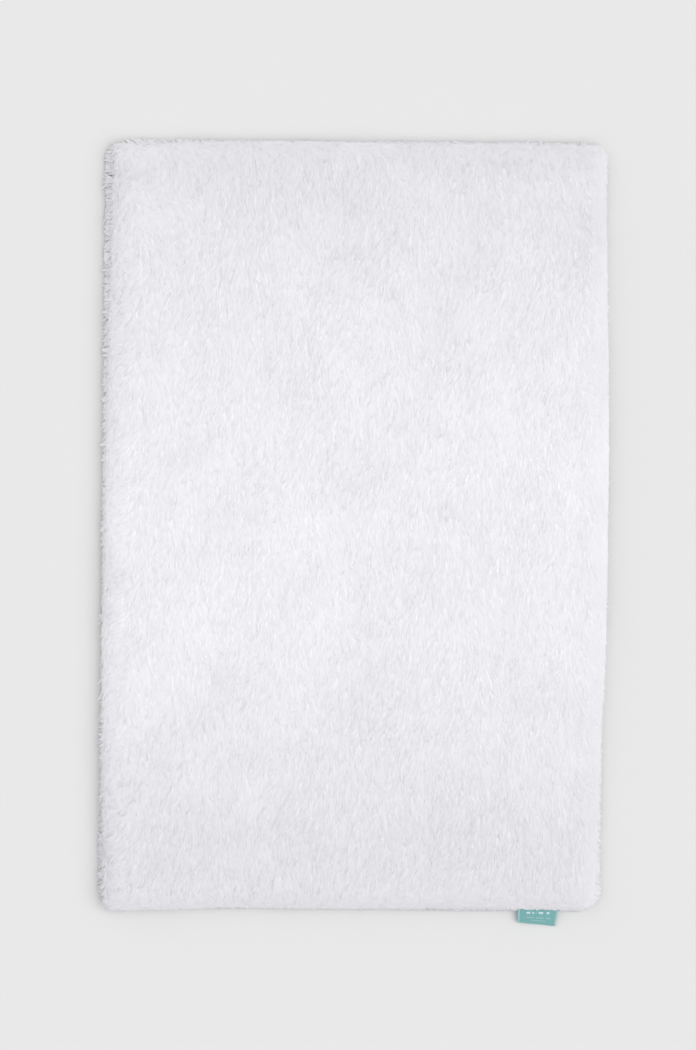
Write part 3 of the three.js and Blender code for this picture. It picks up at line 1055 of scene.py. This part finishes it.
def make_grip():
    """The grip film, with moulded dots under it: each has a foot, a rounded edge and a fillet."""
    film_bottom, room = GRIP_LOW.z + 0.0010, 0.00008
    plan = rounded_grid(GRIP_LOW[:2], GRIP_HIGH[:2], 0.0137, 0.0075)
    skin = 0.00006 * Ripple(52, 0.015)(plan[..., 0], plan[..., 1])
    film = np.concatenate([raised(plan, GRIP_HIGH.z - room + skin),
                           raised(plan, film_bottom + room + skin)])
    around = 20
    turns = np.arange(around) / around * math.tau
    profile = [(0.0, 0.00012), (0.0025, 0.00002), (0.0046, 0.0), (0.0054, 0.00018), (0.0060, 0.0006),
               (0.0064, 0.00098), (0.0074, 0.0012), (0.0060, 0.0013)]
    rings = np.array([[(r * math.cos(a), r * math.sin(a), h) for a in turns] for r, h in profile[1:]])
    foot = np.array([(0.0, 0.0, profile[0][1])])
    roof = np.array([(0.0, 0.0, profile[-1][1])])
    dot = np.concatenate([foot, rings.reshape(-1, 3), roof])
    tube = ring_faces(len(rings), around)[:, ::-1] + 1
    close = np.stack([np.zeros(around, int), 1 + (np.arange(around) + 1) % around,
                      1 + np.arange(around)], -1)
    last = 1 + (len(rings) - 1) * around
    cap = np.stack([np.full(around, len(dot) - 1), last + np.arange(around),
                    last + (np.arange(around) + 1) % around], -1)
    pitch, margin = 0.050, 0.0203
    centres = dot_centres(pitch, BACKING_HIGH.x - margin, BACKING_HIGH.y - margin)
    starts = len(film) + np.arange(len(centres))[:, None, None] * len(dot)
    dots = np.concatenate([dot + (x, y, GRIP_LOW.z) for x, y in centres])
    faces = [*slab_faces(*plan.shape[:2]), (starts + tube[None]).reshape(-1, 4),
             (starts + close[None]).reshape(-1, 3), (starts + cap[None]).reshape(-1, 3)]
    piece = make_piece("grip_film", np.concatenate([film, dots]), faces, grip_finish())
    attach(piece, MAT_BODY)
    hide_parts("grip_coating")


class MAT_OT_backing(bpy.types.Operator):
    """Make the backing cloth and the dotted grip film under it"""

    bl_idname = "bath_mat.backing"
    bl_label = "Backing and Grip Film"

    def execute(self, context):
        make_grip()
        make_backing()
        return {"FINISHED"}


# ---------------------------------------------------------------- edge


def make_tape():
    """The binding tape: folded round the edge, and a little uneven."""
    thickness, lap, bend = 0.0008, 0.0071, 0.0006
    points, outward, along = rectangle_path(TAPE_LOW[:2], TAPE_HIGH[:2], 0.0211, 0.0024)
    low, high = TAPE_LOW.z, TAPE_HIGH.z
    back = -lap
    outside = [(back, low), (-bend, low), (-bend * 0.3, low + bend * 0.3), (0.0, low + bend),
               (0.0, high - bend), (-bend * 0.3, high - bend * 0.3), (-bend, high), (back, high)]
    inside = [(back, high - thickness), (-0.0011, high - thickness), (-0.0008, high - thickness - 0.0002),
              (-0.0008, low + thickness + 0.0002), (-0.0011, low + thickness), (back, low + thickness)]
    stretch = Ripple(61, 0.030)
    wobble = np.stack([0.0005 * stretch(along, along * 0) + 0.0003, np.zeros(len(along))], -1)
    piece = sweep("binding_tape", points, outward, along, outside + inside, tape_finish(), wobble)
    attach(piece, MAT_BODY)
    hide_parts("edge_binding")


def make_thread(name, low, high, node, dip, phase):
    """One thread of the lockstitch: it lies on the tape and dips into each needle hole."""
    pitch = 0.0036
    points, outward, along = rectangle_path(low[:2], high[:2], 0.017, 0.0006)
    run = along[-1] + np.linalg.norm(points[0] - points[-1])
    turn = along / run * round(run / pitch) + phase
    rise = np.abs(np.sin(turn * math.pi)) ** 0.6
    radius = 0.0003
    section = [(radius * math.cos(a) - radius, radius * math.sin(a)) for a in np.arange(6) / 6 * math.tau]
    middle = (low.z + high.z) / 2
    lean = 0.00025 * np.sin(turn * math.tau)
    wobble = np.stack([lean, middle - dip * (1 - rise)], -1)
    piece = sweep(name, points, outward, along, section, thread_finish(), wobble)
    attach(piece, MAT_BODY)
    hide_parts(node)


class MAT_OT_edge(bpy.types.Operator):
    """Make the binding tape and the two threads that sew it"""

    bl_idname = "bath_mat.edge"
    bl_label = "Bound Edge"

    def execute(self, context):
        make_tape()
        make_thread("stitch_top", NEEDLE_LOW, NEEDLE_HIGH, "needle_thread", 0.0005, 0.0)
        make_thread("stitch_under", BOBBIN_LOW, BOBBIN_HIGH, "bobbin_thread", -0.0003, 0.5)
        return {"FINISHED"}


# ---------------------------------------------------------------- label


class MAT_OT_label(bpy.types.Operator):
    """Make the folded ribbon label, sewn under the pile and shaped with a bend where it leaves the mat's edge
    """

    bl_idname = "bath_mat.label"
    bl_label = "Ribbon Label"

    def execute(self, context):
        label = settings("mat_label")
        ply = 0.00035
        root = np.array([ROOT_HIGH.y, (ROOT_LOW.z + ROOT_HIGH.z) / 2])
        hinge = HINGE_POINT[1:]
        fold = np.array([FLAP_LOW.y + 0.0022, FLAP_LOW.z + 0.0010])
        flap = fold - hinge
        length = np.linalg.norm(flap)
        steps = np.linspace(0, 1, 30)
        upper = [root * (1 - t) + hinge * t for t in np.linspace(0, 1, 10)[:-1]]
        upper += [hinge + flap * t + np.array([0.0, 0.0008 * math.sin(t * math.pi)]) for t in steps]
        upper = np.array(upper)
        slope = unit(np.gradient(upper, axis=0))
        rise = np.stack([slope[:, 1], -slope[:, 0]], -1)
        rise *= np.sign(rise[:, 1:])
        gap = 0.00042 + 0.0002 * np.linspace(0, 1, len(upper)) ** 2
        top = upper + rise * gap[:, None]
        bottom = (upper - rise * gap[:, None])[::-1]
        facing = slope[-1]
        bends = np.linspace(0, math.pi, 9)[1:-1]
        nose = [upper[-1] + gap[-1] * (rise[-1] * math.cos(a) + facing * math.sin(a)) for a in bends]
        path = np.concatenate([top, nose, bottom])
        along = np.concatenate([[0], np.cumsum(np.linalg.norm(np.diff(path, axis=0), axis=1))])
        tangent = unit(np.gradient(path, axis=0))
        off = np.stack([tangent[:, 1], -tangent[:, 0]], -1)
        off *= np.sign((off * (path - np.array([path[:, 0].mean(), path[:, 1].mean()]))).sum(-1))[0]
        across = np.linspace(0.0, 1.0, 43)
        width = ROOT_HIGH.x - ROOT_LOW.x
        skins = []
        for sign in (1, -1):
            line = path + sign * off * ply / 2
            y = np.repeat(line[:, :1], len(across), 1)
            z = np.repeat(line[:, 1:], len(across), 1)
            x = np.repeat((ROOT_LOW.x - 0.0012 + width * across)[None], len(path), 0)
            free = smooth((hinge[0] + 0.002 - y) / length)
            turned = math.tan(label.skew) * (x - HINGE_POINT[0]) * free
            curl = 0.0022 * free * (1 - across[None]) ** 1.5 + 0.0004 * free * np.sin(across[None] * 7.0)
            inward = 0.0022 * free * (across[None] ** 2)
            skins.append(np.stack([x - inward, y - turned, z + curl], -1).reshape(-1, 3))
        numbers = {"along": np.tile(np.repeat(along, len(across)), 2),
                   "across": np.tile(np.tile(across * width, len(path)), 2)}
        piece = make_piece("ribbon_label", np.concatenate(skins), slab_faces(len(path), len(across)),
                           ribbon_finish(), numbers)
        x, y, z = HINGE_POINT
        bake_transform(piece)
        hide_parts("label_root", "label_flap")
        return {"FINISHED"}


# ---------------------------------------------------------------- stage


class MAT_OT_stage(bpy.types.Operator):
    """Make the floor, the soft light and the camera"""

    bl_idname = "bath_mat.stage"
    bl_label = "Studio Stage"

    def execute(self, context):
        stage = settings("mat_stage")
        scene = context.scene
        scene.view_settings.view_transform = "Standard"
        self.floor(stage)
        self.light(scene, stage)
        self.camera(scene, stage)
        return {"FINISHED"}

    def floor(self, stage):
        reach = 80.0
        corners = [(-reach, -reach, 0), (reach, -reach, 0), (reach, reach, 0), (-reach, reach, 0)]
        floor = make_piece("floor", np.array(corners), [np.array([[0, 1, 2, 3]])], floor_finish())
        clear_of_dots = 0.0002
        floor.location.z = -clear_of_dots

    def light(self, scene, stage):
        scene.world = bpy.data.worlds.new("studio")
        scene.world.use_nodes = True
        sky = scene.world.node_tree.nodes["Background"]
        sky.inputs["Color"].default_value = (1.0, 1.0, 1.0, 1.0)
        sky.inputs["Strength"].default_value = stage.sky_strength
        self.backdrop(scene.world.node_tree, sky)
        self.lamp(scene, "key", stage.key_strength, softness=65.0,
                  elevation=stage.key_elevation, azimuth=stage.key_azimuth)
        self.lamp(scene, "side", stage.side_strength, softness=70.0,
                  elevation=math.radians(32.0), azimuth=math.radians(140.0))

    def backdrop(self, tree, sky):
        """Shows the camera a wall of the floor's own brightness, without changing the light."""
        floor_brightness = 0.81
        wall = tree.nodes.new("ShaderNodeBackground")
        wall.inputs["Color"].default_value = (1.0, 1.0, 1.0, 1.0)
        wall.inputs["Strength"].default_value = floor_brightness
        seen = tree.nodes.new("ShaderNodeLightPath")
        blend = tree.nodes.new("ShaderNodeMixShader")
        tree.links.new(seen.outputs["Is Camera Ray"], blend.inputs[0])
        tree.links.new(sky.outputs[0], blend.inputs[1])
        tree.links.new(wall.outputs[0], blend.inputs[2])
        tree.links.new(blend.outputs[0], tree.nodes["World Output"].inputs["Surface"])

    def lamp(self, scene, name, strength, softness, elevation, azimuth):
        """A distant lamp. Its softness is its disc's width in degrees."""
        light = bpy.data.lights.new(name, "SUN")
        light.energy = strength
        light.angle = math.radians(softness)
        lamp = bpy.data.objects.new(name, light)
        lamp.rotation_euler = (0.0, math.pi / 2 - elevation, azimuth)
        scene.collection.objects.link(lamp)

    def camera(self, scene, stage):
        frame_height, centre = 1.0847, (-0.0052, 0.0021)
        lens = bpy.data.cameras.new("camera")
        lens.lens = stage.lens
        lens.dof.use_dof = False
        camera = bpy.data.objects.new("camera", lens)
        distance = frame_height * stage.lens / lens.sensor_width
        camera.location = (*centre, WIDEST_HEIGHT + distance)
        camera.rotation_euler = (0.0, 0.0, stage.lean)
        scene.collection.objects.link(camera)
        scene.camera = camera


class MAT_PT_panel(bpy.types.Panel):
    """Lists the mat's pieces and their settings"""

    bl_label = "Bath Mat"
    bl_idname = "MAT_PT_panel"
    bl_space_type = "VIEW_3D"
    bl_region_type = "UI"
    bl_category = "Bath Mat"

    def draw(self, context):
        for operator in OPERATORS:
            self.layout.operator(operator.bl_idname)
        for group, kind in GROUPS.items():
            box = self.layout.box()
            box.label(text=kind.__doc__)
            for name in kind.__annotations__:
                box.prop(getattr(context.scene, group), name)


GROUPS = {"mat_pile": PileSettings, "mat_label": LabelSettings, "mat_base": BaseSettings,
          "mat_stage": StageSettings}
OPERATORS = (MAT_OT_stage, MAT_OT_foam, MAT_OT_pile, MAT_OT_backing, MAT_OT_edge, MAT_OT_label)


def register():
    for kind in (*GROUPS.values(), *OPERATORS, MAT_PT_panel):
        bpy.utils.register_class(kind)
    for group, kind in GROUPS.items():
        setattr(bpy.types.Scene, group, bpy.props.PointerProperty(type=kind))


def unregister():
    for group in GROUPS:
        delattr(bpy.types.Scene, group)
    for kind in reversed((*GROUPS.values(), *OPERATORS, MAT_PT_panel)):
        bpy.utils.unregister_class(kind)


def main():
    register()
    bpy.ops.bath_mat.stage()
    bpy.ops.bath_mat.foam()
    bpy.ops.bath_mat.pile()
    bpy.ops.bath_mat.backing()
    bpy.ops.bath_mat.edge()
    bpy.ops.bath_mat.label()


if __name__ == "__main__":
    main()
